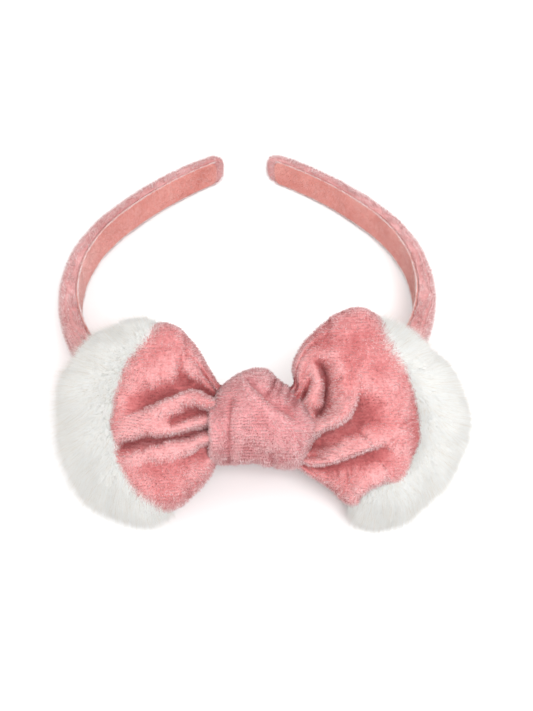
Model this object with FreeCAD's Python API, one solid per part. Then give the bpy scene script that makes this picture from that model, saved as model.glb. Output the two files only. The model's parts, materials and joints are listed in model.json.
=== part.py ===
import FreeCAD
import Part
import math
import os

# A padded velvet hair hoop with a stuffed velvet bow. Millimetres.
# It is built in the hoop's own frame: the hoop's axis is Z, the crown is at -Y, the tips point to +Y
# and the wearer's two sides are +X and -X. The finished pieces are then laid on a table, z = 0.

# Hoop: one arc round the crown, then a flatter arc down each arm.
CROWN_R = 66.5            # mid-line radius of the crown arc
CROWN_HALF_DEG = 127.0    # the crown arc runs this far to each side of the crown
ARM_R = 140.0             # mid-line radius of an arm below the crown arc
ARM_LEN = 54.0            # length of that flatter stretch, up to the rounded tip
FLEX_DEG = 60.0           # where the springy hoop bends most as it opens
FLEX_GAP = 0.3            # clearance at that bend
ARM_LEAD_DEG = 6.0        # an arm is drawn from this far above the bend, and then trimmed to it

# Layers of the hoop, as offsets from the mid-line, positive outwards.
BAND_T = 7.0
LINING_T = 0.8
CLOTH_T = 0.7
CORE_T = 1.8
CORE_INSET = 0.6          # the core is this much narrower than the cover's inside, at each edge
INNER = -BAND_T / 2
OUTER = BAND_T / 2
COVER_IN = INNER + LINING_T
CORE_IN = COVER_IN + CLOTH_T
CORE_OUT = CORE_IN + CORE_T
PAD_OUT = OUTER - CLOTH_T
TIP_WALL = 1.6            # cloth folded over the end of the core
TIP_BULGE = 2.4           # how far the folded tip swells past the end of the arm

# Width of the hoop, tapering evenly from the crown to the tips.
CROWN_HALF_W = 7.5
TIP_HALF_W = 5.8
EDGE_R = 2.0              # rounding of the padded outer edges

# Bow: a stuffed pillow gathered at its middle, with a plush roll round each outer end.
BOW_SHIFT = 3.5           # the bow is tacked on a little to the right of the crown
BOW_FACE_DEG = 46.0       # how far the bow's face is turned up from straight out of the hoop
BOW_STANDOFF = 16.4       # crown mid-line to the bow's middle plane
BOW_RAISE = 2.3           # the gather sits this far up the bow's face from the crown's mid-line
# Half height and half thickness of the pillow at each distance from the gather.
PILLOW = ((0.0, 10.0, 4.5), (8.0, 10.2, 4.7), (16.0, 12.0, 6.5), (23.0, 21.0, 10.5),
          (31.0, 29.5, 12.0), (41.0, 24.0, 9.5), (50.0, 18.0, 7.0), (56.0, 8.0, 3.0))
PANEL_T = 1.0
FILLING_FROM = 6.0
ROLL_X = 32.0             # centre of the plush roll's arc, from the gather
ROLL_R = 25.5             # mid-line radius of that arc
ROLL_PILE_R = 10.8        # radius of the roll, pile included
ROLL_HALF_DEG = 88.0
BINDING_TURNS = 4
THREAD_W = 0.8
THREAD_PITCH = 1.0
BINDING_HALF_L = (THREAD_PITCH * (BINDING_TURNS - 1) + THREAD_W) / 2

# Knot: a velvet wrap drawn round the gather and the hoop together, padded inside.
KNOT_HALF_L = 18.0
KNOT_R = 16.3
KNOT_MID = -1.5           # centre of its round front, along the bow's face normal
WRAP_T = 0.8
WRAP_FRONT_T = 1.5
KNOT_FIT = 0.2            # slack between the hoop's edges and the wrap
LEDGE_SETBACK = 1.5       # above and below the hoop the wrap stands this much further from the head
STITCHES = 5
STITCH_R = 0.35
STITCH_L = 4.0

BIG = 400.0
X = FreeCAD.Vector(1, 0, 0)
Y = FreeCAD.Vector(0, 1, 0)
Z = FreeCAD.Vector(0, 0, 1)


# --- Hoop -------------------------------------------------------------------------------------

def polar(centre, radius, deg, z=0.0):
    """A point at an angle from straight out of the crown (-Y), turning towards +X."""
    a = math.radians(deg)
    return FreeCAD.Vector(centre.x + radius * math.sin(a), centre.y - radius * math.cos(a), z)


ORIGIN = FreeCAD.Vector(0, 0, 0)
ARM_CENTRE = polar(ORIGIN, CROWN_R - ARM_R, CROWN_HALF_DEG)
FLEX_AT = polar(ORIGIN, CROWN_R, FLEX_DEG)
CROWN_END_DEG = FLEX_DEG - math.degrees((BAND_T / 2 + FLEX_GAP) / CROWN_R)
CROWN_AT = polar(ORIGIN, CROWN_R, 0)
ARM_END_DEG = CROWN_HALF_DEG + math.degrees(ARM_LEN / ARM_R)


def arc(centre, radius, deg_a, deg_b):
    middle = polar(centre, radius, (deg_a + deg_b) / 2)
    return Part.Arc(polar(centre, radius, deg_a), middle, polar(centre, radius, deg_b)).toShape()


def straight(a, b):
    return Part.LineSegment(a, b).toShape()


def slab(edges):
    """The outline as a tall solid, to be cut to the hoop's width."""
    wire = Part.Wire(edges)
    return Part.Face(wire).extrude(FreeCAD.Vector(0, 0, BIG)).translated(FreeCAD.Vector(0, 0, -BIG / 2))


def crown_slab(inner, outer, end_deg):
    return slab([arc(ORIGIN, CROWN_R + inner, -end_deg, end_deg),
                 straight(polar(ORIGIN, CROWN_R + inner, end_deg), polar(ORIGIN, CROWN_R + outer, end_deg)),
                 arc(ORIGIN, CROWN_R + outer, end_deg, -end_deg),
                 straight(polar(ORIGIN, CROWN_R + outer, -end_deg), polar(ORIGIN, CROWN_R + inner, -end_deg))])


def arm_slab(inner, outer, short_by, rounded=False):
    """A length of the right arm, from a little above the bend to its tip."""
    start = FLEX_DEG - ARM_LEAD_DEG
    end = ARM_END_DEG - math.degrees(short_by / ARM_R)
    tip_in = polar(ARM_CENTRE, ARM_R + inner, end)
    tip_out = polar(ARM_CENTRE, ARM_R + outer, end)
    tip = straight(tip_in, tip_out)
    if rounded:
        a = math.radians(end)
        ahead = FreeCAD.Vector(math.cos(a), math.sin(a), 0) * TIP_BULGE
        tip = Part.Arc(tip_in, (tip_in + tip_out) * 0.5 + ahead, tip_out).toShape()
    return slab([arc(ORIGIN, CROWN_R + inner, start, CROWN_HALF_DEG),
                 arc(ARM_CENTRE, ARM_R + inner, CROWN_HALF_DEG, end),
                 tip,
                 arc(ARM_CENTRE, ARM_R + outer, end, CROWN_HALF_DEG),
                 arc(ORIGIN, CROWN_R + outer, CROWN_HALF_DEG, start),
                 straight(polar(ORIGIN, CROWN_R + outer, start), polar(ORIGIN, CROWN_R + inner, start))])


TIP_Y = polar(ARM_CENTRE, ARM_R, ARM_END_DEG).y + BAND_T / 2


def width_wedge(margin):
    """Everything between the hoop's two edges, less a margin: wide at the crown, narrow at the tips."""
    crown_y = -CROWN_R - OUTER
    slope = (CROWN_HALF_W - TIP_HALF_W) / (TIP_Y - crown_y)
    reach = 20.0
    wide = CROWN_HALF_W + slope * reach - margin
    narrow = TIP_HALF_W - slope * reach - margin
    near, far = crown_y - reach, TIP_Y + reach
    corners = [FreeCAD.Vector(-BIG / 2, near, -wide), FreeCAD.Vector(-BIG / 2, far, -narrow),
               FreeCAD.Vector(-BIG / 2, far, narrow), FreeCAD.Vector(-BIG / 2, near, wide)]
    return Part.Face(Part.makePolygon(corners + corners[:1])).extrude(X * BIG)


def round_outer_edges(solid):
    """Rounds the two long edges of the padded outer face."""
    long_edges = []
    for edge in solid.Edges:
        p = edge.valueAt((edge.FirstParameter + edge.LastParameter) / 2)
        on_crown = abs(math.hypot(p.x, p.y) - CROWN_R - OUTER) < 0.01
        on_arm = abs(math.hypot(p.x - ARM_CENTRE.x, p.y - ARM_CENTRE.y) - ARM_R - OUTER) < 0.01
        if (on_crown or on_arm) and abs(p.z) > TIP_HALF_W / 2 and edge.Length > BAND_T:
            long_edges.append(edge)
    return solid.makeFillet(EDGE_R, long_edges)


def half_space(point, normal):
    """Everything ahead of a plane, as a large box."""
    box = Part.makeBox(BIG, BIG, BIG, FreeCAD.Vector(-BIG / 2, -BIG / 2, 0))
    return box.transformed(FreeCAD.Placement(point, FreeCAD.Rotation(Z, normal)).toMatrix(), True)


BEND = Part.makeCylinder(BAND_T / 2, BIG, FLEX_AT - Z * (BIG / 2), Z)
DOWN_ARM = FreeCAD.Vector(math.cos(math.radians(FLEX_DEG)), math.sin(math.radians(FLEX_DEG)), 0)
PAST_BEND = half_space(FLEX_AT, DOWN_ARM)


def hoop_layers(cover, cavity, core, padding, lining):
    """The five nested shapes of one length of hoop, cut to width and made into its four pieces."""
    outer = round_outer_edges(cover.common(width_wedge(0)))
    hollow = cavity.common(width_wedge(CLOTH_T))
    return {"cover": outer.cut(hollow),
            "core": core.common(width_wedge(CLOTH_T + CORE_INSET)),
            "padding": padding.common(width_wedge(CLOTH_T)),
            "lining": lining.common(width_wedge(CLOTH_T))}


CROWN = hoop_layers(crown_slab(COVER_IN, OUTER, CROWN_END_DEG),
                    crown_slab(CORE_IN, PAD_OUT, CROWN_END_DEG),
                    crown_slab(CORE_IN, CORE_OUT, CROWN_END_DEG),
                    crown_slab(CORE_OUT, PAD_OUT, CROWN_END_DEG),
                    crown_slab(INNER, COVER_IN, CROWN_END_DEG))
ARM = hoop_layers(arm_slab(COVER_IN, OUTER, 0, rounded=True),
                  arm_slab(CORE_IN, PAD_OUT, TIP_WALL),
                  arm_slab(CORE_IN, CORE_OUT, TIP_WALL),
                  arm_slab(CORE_OUT, PAD_OUT, TIP_WALL),
                  arm_slab(INNER, COVER_IN, 2 * TIP_WALL))
ARM = {name: solid.common(PAST_BEND).fuse(solid.common(BEND)).removeSplitter() for name, solid in ARM.items()}


# --- Bow --------------------------------------------------------------------------------------
# Made lying on its back: X across the bow, Y up its face, Z out of its face, the gather at the origin.

def oval(x, half_height, half_thick):
    """An upright ellipse across the pillow, x from the gather."""
    tall = half_height >= half_thick
    major, minor = max(half_height, half_thick), min(half_height, half_thick)
    ellipse = Part.Ellipse(ORIGIN, major, minor)
    wire = Part.Wire([ellipse.toShape()])
    turn = FreeCAD.Rotation(Y, Z, X) if tall else FreeCAD.Rotation(Z, Y, X)
    wire.Placement = FreeCAD.Placement(FreeCAD.Vector(x, 0, 0), turn)
    return wire


def pillow(margin, start):
    """The right half of the stuffed pillow, less a margin all round."""
    sections = [(x, h - margin, t - margin) for x, h, t in PILLOW if x >= start]
    return Part.makeLoft([oval(*s) for s in sections], True, False)


def mirrored(shape):
    return shape.mirror(ORIGIN, X)


def plush_roll():
    """The right plush roll: a thick round arc that borders the pillow's outer end."""
    centre = FreeCAD.Vector(ROLL_X, 0, 0)
    roll = Part.makeTorus(ROLL_R, ROLL_PILE_R, centre, Z, -180, 180, 2 * ROLL_HALF_DEG)
    roll.rotate(centre, Z, -ROLL_HALF_DEG)
    return roll


FRONT = half_space(ORIGIN, Z)
ROLL = plush_roll()
ROLLS = ROLL.fuse(mirrored(ROLL))
PILLOW_SKIN = pillow(0, 0)
PILLOW_SKIN = PILLOW_SKIN.fuse(mirrored(PILLOW_SKIN)).removeSplitter()
FILLING = pillow(PANEL_T, FILLING_FROM)
PANELS = PILLOW_SKIN.cut(FILLING).cut(mirrored(FILLING)).cut(ROLLS)


def round_gather(x, width):
    """A flat-sided oval collar round the gather, one thread thick, with the gather still in it."""
    _, half_height, half_thick = PILLOW[0]
    return Part.Face(oval(x, half_height + THREAD_W, half_thick + THREAD_W)).extrude(X * width)


def gather_binding():
    """Turns of thread drawn tight round the gather, side by side."""
    starts = [i * THREAD_PITCH - BINDING_HALF_L for i in range(BINDING_TURNS)]
    return Part.makeCompound([round_gather(x, THREAD_W).cut(PILLOW_SKIN) for x in starts])


# --- Bow's place on the hoop, and the knot -----------------------------------------------------
# The knot is made in the hoop's frame, because it follows the hoop as well as the bow.

FACE_TILT = math.radians(BOW_FACE_DEG)
FACE_OUT = FreeCAD.Vector(0, -math.cos(FACE_TILT), math.sin(FACE_TILT))
FACE_UP = FreeCAD.Vector(0, math.sin(FACE_TILT), math.cos(FACE_TILT))
BOW_AT = CROWN_AT + X * BOW_SHIFT + FACE_OUT * BOW_STANDOFF + FACE_UP * BOW_RAISE


def in_bow(shape):
    """Puts a piece of the bow in its place on the hoop."""
    turn = FreeCAD.Rotation(X, 90 - BOW_FACE_DEG)
    return shape.transformed(FreeCAD.Placement(BOW_AT, turn).toMatrix(), True)


def tangent_deg(centre, radius, y, z, side):
    """Where a line from an outside point touches a circle, as an angle from +Y towards +Z."""
    dy, dz = y - centre.y, z - centre.z
    return math.degrees(math.atan2(dz, dy) + side * math.acos(radius / math.hypot(dy, dz)))


def knot_body(front_r, grow, head_r, ledge_r):
    """A round front drawn tight over the hoop's two edges and hollowed for the head behind."""
    centre = BOW_AT + FACE_OUT * KNOT_MID
    edge_z = CROWN_HALF_W + KNOT_FIT + grow
    front_y = -CROWN_R - OUTER - KNOT_FIT - grow
    back_y = -CROWN_R * math.cos(math.asin((KNOT_HALF_L + BOW_SHIFT) / CROWN_R)) + BAND_T

    def on_front(deg):
        a = math.radians(deg)
        return FreeCAD.Vector(0, centre.y + front_r * math.cos(a), centre.z + front_r * math.sin(a))

    top = tangent_deg(centre, front_r, back_y, edge_z, 1)
    bottom = tangent_deg(centre, front_r, front_y, -edge_z, -1) + 360
    corners = [on_front(bottom), FreeCAD.Vector(0, front_y, -edge_z), FreeCAD.Vector(0, back_y, -edge_z),
               FreeCAD.Vector(0, back_y, edge_z), on_front(top)]
    edges = [straight(a, b) for a, b in zip(corners, corners[1:])]
    edges.append(Part.Arc(on_front(top), on_front((top + bottom) / 2), on_front(bottom)).toShape())
    solid = Part.Face(Part.Wire(edges)).extrude(X * (2 * KNOT_HALF_L))
    head = Part.makeCylinder(head_r, BIG, ORIGIN - Z * (BIG / 2), Z)
    above = Part.makeCylinder(ledge_r, BIG, Z * edge_z, Z)
    below = Part.makeCylinder(ledge_r, BIG, Z * -edge_z, Z * -1)
    return solid.translated(X * (BOW_SHIFT - KNOT_HALF_L)).cut(head).cut(above).cut(below)


def knot_stitches():
    """Stitches that close the wrap under the hoop, in a row along it."""
    z = -(CROWN_HALF_W + KNOT_FIT + WRAP_T + STITCH_R)
    pitch = (2 * KNOT_HALF_L - STITCH_L) / STITCHES
    rods = []
    for i in range(STITCHES):
        start = BOW_SHIFT + (i - (STITCHES - 1) / 2) * pitch - STITCH_L / 2
        rods.append(Part.makeCylinder(STITCH_R, STITCH_L, FreeCAD.Vector(start, -CROWN_R, z), X))
    return Part.makeCompound(rods)


BINDING = gather_binding()
LEDGE_R = CROWN_R + INNER + LEDGE_SETBACK
KNOT_OUT = knot_body(KNOT_R, WRAP_T, CROWN_R + INNER, LEDGE_R)
KNOT_IN = knot_body(KNOT_R - WRAP_FRONT_T, 0, CROWN_R + COVER_IN, LEDGE_R + WRAP_FRONT_T)
BOUND = round_gather(-BINDING_HALF_L, 2 * BINDING_HALF_L)
HELD = [CROWN["cover"], CROWN["core"], CROWN["padding"], in_bow(PILLOW_SKIN), in_bow(BOUND)]
KNOT_SPACES = KNOT_IN.cut(Part.makeCompound(HELD)).Solids

ROOT_PIECES = {
    "core_crown": CROWN["core"],
    "padding_crown": CROWN["padding"],
    "cover_crown": CROWN["cover"],
    "lining_crown": CROWN["lining"].cut(KNOT_OUT),
    "bow_front_panel": in_bow(PANELS.common(FRONT)),
    "bow_back_panel": in_bow(PANELS.cut(FRONT)),
    "bow_filling_right": in_bow(FILLING.cut(ROLL)),
    "bow_filling_left": in_bow(mirrored(FILLING).cut(mirrored(ROLL))),
    "plush_trim_right": in_bow(ROLL),
    "plush_trim_left": in_bow(mirrored(ROLL)),
    "gather_binding": in_bow(BINDING),
    "knot_padding": max(KNOT_SPACES, key=lambda space: space.Volume),
    "knot_wrap": KNOT_OUT.cut(KNOT_IN),
    "knot_stitches": knot_stitches(),
}
PIECES = dict(ROOT_PIECES)
for layer, solid in ARM.items():
    PIECES[layer + "_arm_right"] = solid
    PIECES[layer + "_arm_left"] = mirrored(solid)


# --- Laid on the table ------------------------------------------------------------------------
# It rests on the two tips and on the lower edges of the two plush rolls, which lift the crown.

ROLL_LOW = BOW_AT - FACE_UP * ROLL_R
TIP_LOW = FreeCAD.Vector(0, TIP_Y, -TIP_HALF_W)
REACH_Y = TIP_LOW.y - ROLL_LOW.y
REACH_Z = ROLL_LOW.z - TIP_LOW.z
LIE_DEG = math.degrees(math.asin(ROLL_PILE_R / math.hypot(REACH_Y, REACH_Z)) - math.atan2(REACH_Z, REACH_Y))
TILTED = {name: shape.transformed(FreeCAD.Placement(ORIGIN, FreeCAD.Rotation(X, -LIE_DEG)).toMatrix(), True)
          for name, shape in PIECES.items()}
SPAN = Part.makeCompound(list(TILTED.values())).optimalBoundingBox(False, False)
TO_TABLE = FreeCAD.Vector(-SPAN.Center.x, -SPAN.Center.y, -SPAN.ZMin)

os.makedirs("parts", exist_ok=True)
for name, shape in TILTED.items():
    shape.translated(TO_TABLE).exportStep("parts/" + name + ".step")
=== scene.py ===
import json
import math

import bpy
import numpy as np
from mathutils import Matrix, Vector, noise
from mathutils.bvhtree import BVHTree


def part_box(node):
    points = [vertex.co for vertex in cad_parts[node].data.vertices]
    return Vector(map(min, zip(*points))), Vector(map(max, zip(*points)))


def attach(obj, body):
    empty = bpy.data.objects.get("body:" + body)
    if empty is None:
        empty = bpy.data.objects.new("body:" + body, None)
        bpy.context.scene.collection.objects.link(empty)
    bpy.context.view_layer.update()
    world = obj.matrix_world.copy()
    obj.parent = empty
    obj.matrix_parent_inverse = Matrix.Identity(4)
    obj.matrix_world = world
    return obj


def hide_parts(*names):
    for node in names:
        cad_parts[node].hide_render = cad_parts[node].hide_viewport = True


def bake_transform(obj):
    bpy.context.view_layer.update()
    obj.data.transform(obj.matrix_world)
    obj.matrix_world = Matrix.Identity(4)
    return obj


# A padded velvet hair hoop with a stuffed velvet bow, white plush edges and a wrapped knot.
# Metres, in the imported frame: the headband lies on the table, bow at -Y, tips at +Y.

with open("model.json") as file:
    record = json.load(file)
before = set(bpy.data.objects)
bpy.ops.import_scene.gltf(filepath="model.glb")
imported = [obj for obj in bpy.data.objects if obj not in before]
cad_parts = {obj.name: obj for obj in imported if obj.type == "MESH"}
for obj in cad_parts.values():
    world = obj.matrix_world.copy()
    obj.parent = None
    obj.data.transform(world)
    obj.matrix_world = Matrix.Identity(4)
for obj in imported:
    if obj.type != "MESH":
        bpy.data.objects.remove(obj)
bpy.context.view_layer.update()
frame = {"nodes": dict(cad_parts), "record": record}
MM = 0.001

# --- Places, from the frame --------------------------------------------------
# The hoop's own frame: origin at the middle of its crown arc, normal along its axis.

SEAT = next(m for m in frame["record"]["mounts"] if m["name"] == "head_seat")
HOOP_AT = np.array(SEAT["pos_m"])
HOOP_UP = -np.array(SEAT["axis"])
HOOP_UP /= np.linalg.norm(HOOP_UP)
HOOP_X = np.array((1.0, 0.0, 0.0))
HOOP_BACK = np.cross(HOOP_UP, HOOP_X)

CROWN_R = 66.5 * MM
CROWN_HALF = math.radians(127.0)
ARM_R = 140.0 * MM
ARM_LEN = 54.0 * MM
CROWN_HALF_W = 7.5 * MM
TIP_HALF_W = 5.8 * MM

BOW_SHIFT = 3.5 * MM
FACE_TILT = math.radians(46.0)
BOW_STANDOFF = 16.4 * MM
BOW_RAISE = 2.3 * MM


def in_hoop(p):
    """World places of points given in the hoop's frame (across, back, up)."""
    p = np.asarray(p, float)
    return HOOP_AT + p[..., :1] * HOOP_X + p[..., 1:2] * HOOP_BACK + p[..., 2:3] * HOOP_UP


FACE_OUT = -math.cos(FACE_TILT) * HOOP_BACK + math.sin(FACE_TILT) * HOOP_UP
FACE_UP = math.sin(FACE_TILT) * HOOP_BACK + math.cos(FACE_TILT) * HOOP_UP
BOW_AT = in_hoop((BOW_SHIFT, -CROWN_R, 0.0)) + FACE_OUT * BOW_STANDOFF + FACE_UP * BOW_RAISE


def in_bow(p):
    """World places of points given in the bow's frame (across, up its face, out of its face)."""
    p = np.asarray(p, float)
    return BOW_AT + p[..., :1] * HOOP_X + p[..., 1:2] * FACE_UP + p[..., 2:3] * FACE_OUT


# --- Shape and scene helpers -------------------------------------------------

def smoothstep(a, b, x):
    t = np.clip((np.asarray(x, float) - a) / (b - a), 0.0, 1.0)
    return t * t * (3.0 - 2.0 * t)


def unit(v):
    v = np.asarray(v, float)
    return v / np.maximum(np.linalg.norm(v, axis=-1, keepdims=True), 1e-12)


def hash_noise(points, scale, seed=0.0):
    """Smooth noise from -1 to 1 at each point, its features about scale metres across."""
    shift = Vector((seed * 17.3, seed * 9.1, seed * 5.7))
    return np.array([noise.noise(Vector(p) / scale + shift) for p in points])


def placed(name, data):
    """A new object in the scene, for a mesh, a camera or a light."""
    made = bpy.data.objects.new(name, data)
    bpy.context.scene.collection.objects.link(made)
    return made


def new_piece(name, points, faces, smooth=True):
    mesh = bpy.data.meshes.new(name)
    mesh.from_pydata([tuple(p) for p in points], [], [tuple(int(i) for i in f) for f in faces])
    mesh.validate()
    mesh.update()
    if smooth:
        mesh.polygons.foreach_set("use_smooth", np.ones(len(mesh.polygons), bool))
    return placed(name, mesh)


def tube_faces(rings, around, capped=True):
    """Quads of a tube of rings, each with the same number of points, and flat fans at its two ends."""
    faces = []
    for i in range(rings - 1):
        for j in range(around):
            k = (j + 1) % around
            faces.append((i * around + j, i * around + k, (i + 1) * around + k, (i + 1) * around + j))
    if capped:
        faces.append(tuple(range(around))[::-1])
        faces.append(tuple((rings - 1) * around + j for j in range(around)))
    return faces


def new_material(name):
    """A new material, with its node tree and its shader."""
    mat = bpy.data.materials.new(name)
    mat.use_nodes = True
    return mat, mat.node_tree, mat.node_tree.nodes["Principled BSDF"]


# --- Camera and stage --------------------------------------------------------

VIEW_UP = math.radians(43.0)
VIEW_FROM = 449.0 * MM
AIM = (6.4 * MM, -34.5 * MM, 0.0)


def aimed(name, data, place, towards):
    """A camera or a light at a place, pointing along a direction."""
    made = placed(name, data)
    made.location = place
    made.rotation_mode = "QUATERNION"
    made.rotation_quaternion = Vector(towards).to_track_quat("-Z", "Y")
    return made


def make_camera():
    data = bpy.data.cameras.new("camera")
    data.lens = 60.0
    data.clip_start, data.clip_end = 0.01, 60.0
    place = in_hoop((0.0, -VIEW_FROM * math.cos(VIEW_UP), VIEW_FROM * math.sin(VIEW_UP)))
    bpy.context.scene.camera = aimed("camera", data, place, in_hoop(AIM) - place)


def area_light(name, place, size, watts, colour=(1.0, 1.0, 1.0)):
    """A square light that points at the middle of the table."""
    data = bpy.data.lights.new(name, "AREA")
    data.size, data.energy, data.color = size, watts, colour
    aimed(name, data, place, -Vector(place))


def make_stage():
    size = 14.0
    corners = [(-size, -size, 0), (size, -size, 0), (size, size, 0), (-size, size, 0)]
    floor = new_piece("floor", corners, [(0, 1, 2, 3)], smooth=False)
    mat, _, shader = new_material("floor_white")
    shader.inputs["Base Color"].default_value = (0.90, 0.90, 0.895, 1)
    shader.inputs["Roughness"].default_value = 0.9
    floor.data.materials.append(mat)
    world = bpy.data.worlds.new("studio")
    world.use_nodes = True
    world.node_tree.nodes["Background"].inputs["Color"].default_value = (1.0, 1.0, 1.0, 1)
    world.node_tree.nodes["Background"].inputs["Strength"].default_value = 0.97
    bpy.context.scene.world = world
    area_light("key", (0.20, -0.66, 0.75), 0.5, 8.0, (0.98, 0.99, 1.0))
    area_light("side", (-0.75, -0.20, 0.50), 0.5, 1.8, (1.0, 0.96, 0.92))
    area_light("rim", (0.70, 0.35, 0.50), 0.5, 1.3)


make_camera()
make_stage()
bpy.context.scene.view_settings.view_transform = "Standard"


# --- Materials ---------------------------------------------------------------

def node(tree, kind, **settings):
    made = tree.nodes.new(kind)
    for key, value in settings.items():
        setattr(made, key, value)
    return made


def noise_texture(tree, scale, detail, roughness=0.5):
    """Noise that is fixed to the piece's own coordinates."""
    texture = node(tree, "ShaderNodeTexNoise")
    texture.inputs["Scale"].default_value = scale
    texture.inputs["Detail"].default_value = detail
    texture.inputs["Roughness"].default_value = roughness
    tree.links.new(node(tree, "ShaderNodeTexCoord").outputs["Object"], texture.inputs["Vector"])
    return texture


def roughen(tree, shader, texture, strength, depth):
    """Makes a surface finely uneven, following a texture."""
    bump = node(tree, "ShaderNodeBump")
    bump.inputs["Strength"].default_value = strength
    bump.inputs["Distance"].default_value = depth
    tree.links.new(texture.outputs["Fac"], bump.inputs["Height"])
    tree.links.new(bump.outputs["Normal"], shader.inputs["Normal"])


GRAIN_SHARE = 0.45
# How far the hollow mark shifts the velvet's colour: painted shade in the creases, a painted highlight on the
# ridges.
PAINTED_HOLLOW_SHADE = -0.24


def velvet(name, crease, deep, mid, light):
    """Short-pile velour: uneven colour where the pile leans, a painted shade deeper in the creases and a
    painted highlight paler on the ridges, with a soft sheen."""
    mat, tree, shader = new_material(name)
    link = tree.links.new
    lean = noise_texture(tree, 60.0, 4.0, 0.6)
    grain = noise_texture(tree, 900.0, 2.0)
    mixed = node(tree, "ShaderNodeMath", operation="MULTIPLY_ADD")
    link(grain.outputs["Fac"], mixed.inputs[0])
    mixed.inputs[1].default_value = GRAIN_SHARE
    link(lean.outputs["Fac"], mixed.inputs[2])
    # Painted shade and highlight: the hollow mark darkens the colour towards the crease stop in the creases
    # and lightens it on the ridges.
    pressed = node(tree, "ShaderNodeMath", operation="MULTIPLY_ADD")
    link(node(tree, "ShaderNodeAttribute", attribute_name="hollow").outputs["Fac"], pressed.inputs[0])
    pressed.inputs[1].default_value = PAINTED_HOLLOW_SHADE
    link(mixed.outputs[0], pressed.inputs[2])
    ramp = node(tree, "ShaderNodeValToRGB")
    link(pressed.outputs[0], ramp.inputs["Fac"])
    stops = ramp.color_ramp.elements
    stops[0].position, stops[0].color = 0.18, (*crease, 1)
    stops[1].position, stops[1].color = 1.0, (*light, 1)
    for position, colour in ((0.50, deep), (0.74, mid)):
        stops.new(position).color = (*colour, 1)
    link(ramp.outputs["Color"], shader.inputs["Base Color"])
    roughen(tree, shader, grain, 0.5, 0.0004)
    shader.inputs["Roughness"].default_value = 0.85
    shader.inputs["Specular IOR Level"].default_value = 0.2
    shader.inputs["Sheen Weight"].default_value = 0.55
    shader.inputs["Sheen Roughness"].default_value = 0.45
    shader.inputs["Sheen Tint"].default_value = (1.0, 0.80, 0.82, 1)
    return mat


def fibre(name, colour, roughness=0.7, sheen=0.3):
    """One shade of pile fibre."""
    mat, _, shader = new_material(name)
    shader.inputs["Base Color"].default_value = (*colour, 1)
    shader.inputs["Roughness"].default_value = roughness
    shader.inputs["Specular IOR Level"].default_value = 0.25
    shader.inputs["Sheen Weight"].default_value = sheen
    shader.inputs["Sheen Roughness"].default_value = 0.5
    shader.inputs["Sheen Tint"].default_value = (*[0.5 + 0.5 * c / max(colour) for c in colour], 1)
    return mat


def fibres(names, colours, *look):
    """A fibre material for each of the names and colours."""
    return [fibre(name, colour, *look) for name, colour in zip(names.split(), colours)]


# Each velvet's colours are crease, deep, mid and light. The crease colour is painted shade, reached only on
# the bow and the knot, whose cloth carries hollow marks, and there the light colour is also a painted
# highlight on the ridges.
BAND_VELVET = velvet("velvet_band",
                     (0.34, 0.10, 0.10), (0.42, 0.155, 0.15), (0.54, 0.25, 0.245), (0.66, 0.37, 0.37))
LINING_VELVET = velvet("velvet_lining",
                       (0.30, 0.09, 0.075), (0.46, 0.14, 0.115), (0.57, 0.215, 0.185), (0.67, 0.32, 0.28))
BOW_VELVET = velvet("velvet_bow",
                    (0.20, 0.028, 0.030), (0.42, 0.11, 0.11), (0.54, 0.19, 0.19), (0.64, 0.30, 0.30))
KNOT_VELVET = velvet("velvet_knot",
                     (0.28, 0.06, 0.065), (0.48, 0.165, 0.17), (0.58, 0.25, 0.26), (0.66, 0.35, 0.355))
# Each pile runs from its deepest shade to the palest tips. On the bow and the knot the deepest fibres lie
# mostly in the creases as painted shade, and more pale fibres stand on the ridges as a painted highlight.
BAND_PILE = fibres("pile_band_deep pile_band_rose pile_band_blush pile_band_pale",
                   ((0.46, 0.19, 0.185), (0.58, 0.29, 0.28), (0.72, 0.46, 0.455), (0.90, 0.78, 0.78)))
LINING_PILE = fibres("pile_lining_deep pile_lining_salmon pile_lining_coral pile_lining_pale",
                     ((0.44, 0.17, 0.15), (0.60, 0.245, 0.205), (0.70, 0.35, 0.30), (0.82, 0.58, 0.53)))
BOW_PILE = fibres("pile_bow_deep pile_bow_rose pile_bow_blush pile_bow_pale",
                  ((0.34, 0.065, 0.068), (0.53, 0.195, 0.195), (0.68, 0.36, 0.36), (0.88, 0.70, 0.705)))
KNOT_PILE = fibres("pile_knot_deep pile_knot_rose pile_knot_blush pile_knot_pale",
                   ((0.38, 0.11, 0.12), (0.53, 0.20, 0.205), (0.67, 0.36, 0.365), (0.86, 0.68, 0.685)))
FRINGE_SHADES = fibres("fringe_pale fringe_blush", ((0.92, 0.80, 0.79), (0.84, 0.60, 0.58)))
FUR_SHADES = fibres("fur_white fur_cream fur_cool fur_shade",
                    ((0.92, 0.92, 0.905), (0.90, 0.875, 0.83), (0.90, 0.915, 0.91), (0.85, 0.85, 0.83)),
                    0.9, 0.2)
WISP_SHADES = fibres("wisp_beige wisp_cream wisp_white",
                     ((0.70, 0.62, 0.52), (0.87, 0.83, 0.77), (0.95, 0.95, 0.94)), 0.9, 0.1)


# --- Pile --------------------------------------------------------------------

def places_and_normals(mesh):
    points, normals = np.empty((2, len(mesh.vertices) * 3))
    mesh.vertices.foreach_get("co", points)
    mesh.vertex_normals.foreach_get("vector", normals)
    return points.reshape(-1, 3), normals.reshape(-1, 3)


# Rounds of smoothing that level a crease, and the many more that level the swell of the whole piece.
CREASE_ROUNDS, SWELL_ROUNDS = 40, 300


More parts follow.
